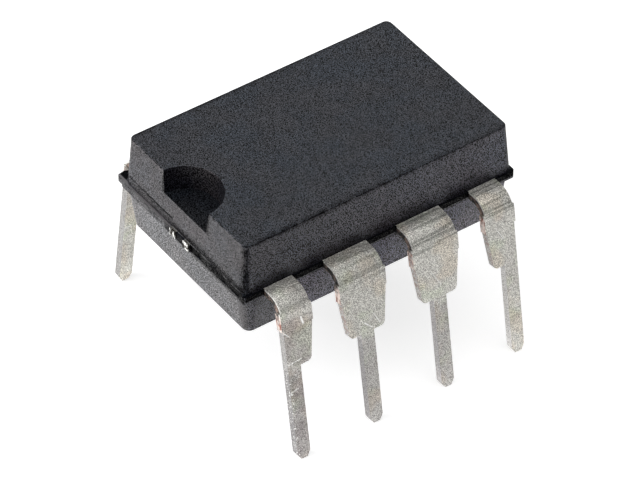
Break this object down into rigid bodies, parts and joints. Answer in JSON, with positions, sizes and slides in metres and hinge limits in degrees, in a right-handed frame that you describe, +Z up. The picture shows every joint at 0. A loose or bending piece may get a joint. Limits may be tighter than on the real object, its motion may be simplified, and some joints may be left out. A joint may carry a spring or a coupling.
{
  "type": "dual in-line integrated circuit chip",
  "caption": "Small black moulded chip package with a thumb notch and rows of flat, bent, tinned leads that go through a circuit board.",
  "frame": {"origin": "under the middle of the body, on the plane that the tips of the leads stand on", "axes": "+Z up, out of the body's top; X along the rows of leads, with the end that has the thumb notch at -X and lead 1 beside it at -Y"},
  "size_m": [0.0094, 0.0094, 0.0071],
  "materials": {
    "moulded_resin": "fine matt grain, charcoal",
    "tinned_lead": "dull tin over copper, bare copper at the sheared dam-bar cuts",
    "plated_pad": "stamped copper alloy with bright silver plating",
    "silver_adhesive": "cured silver-filled paste",
    "silicon_die": "polished silicon",
    "gold_wire": "drawn gold"
  },
  "bodies": {
    "root": {"body": "moulded_resin", "lead_1": "tinned_lead", "lead_2": "tinned_lead", "lead_3": "tinned_lead", "lead_4": "tinned_lead", "lead_5": "tinned_lead", "lead_6": "tinned_lead", "lead_7": "tinned_lead", "lead_8": "tinned_lead", "die_pad": "plated_pad", "die_attach": "silver_adhesive", "die": "silicon_die", "bond_wire_1": "gold_wire", "bond_wire_2": "gold_wire", "bond_wire_3": "gold_wire", "bond_wire_4": "gold_wire", "bond_wire_5": "gold_wire", "bond_wire_6": "gold_wire", "bond_wire_7": "gold_wire", "bond_wire_8": "gold_wire"}
  },
  "joints": []
}
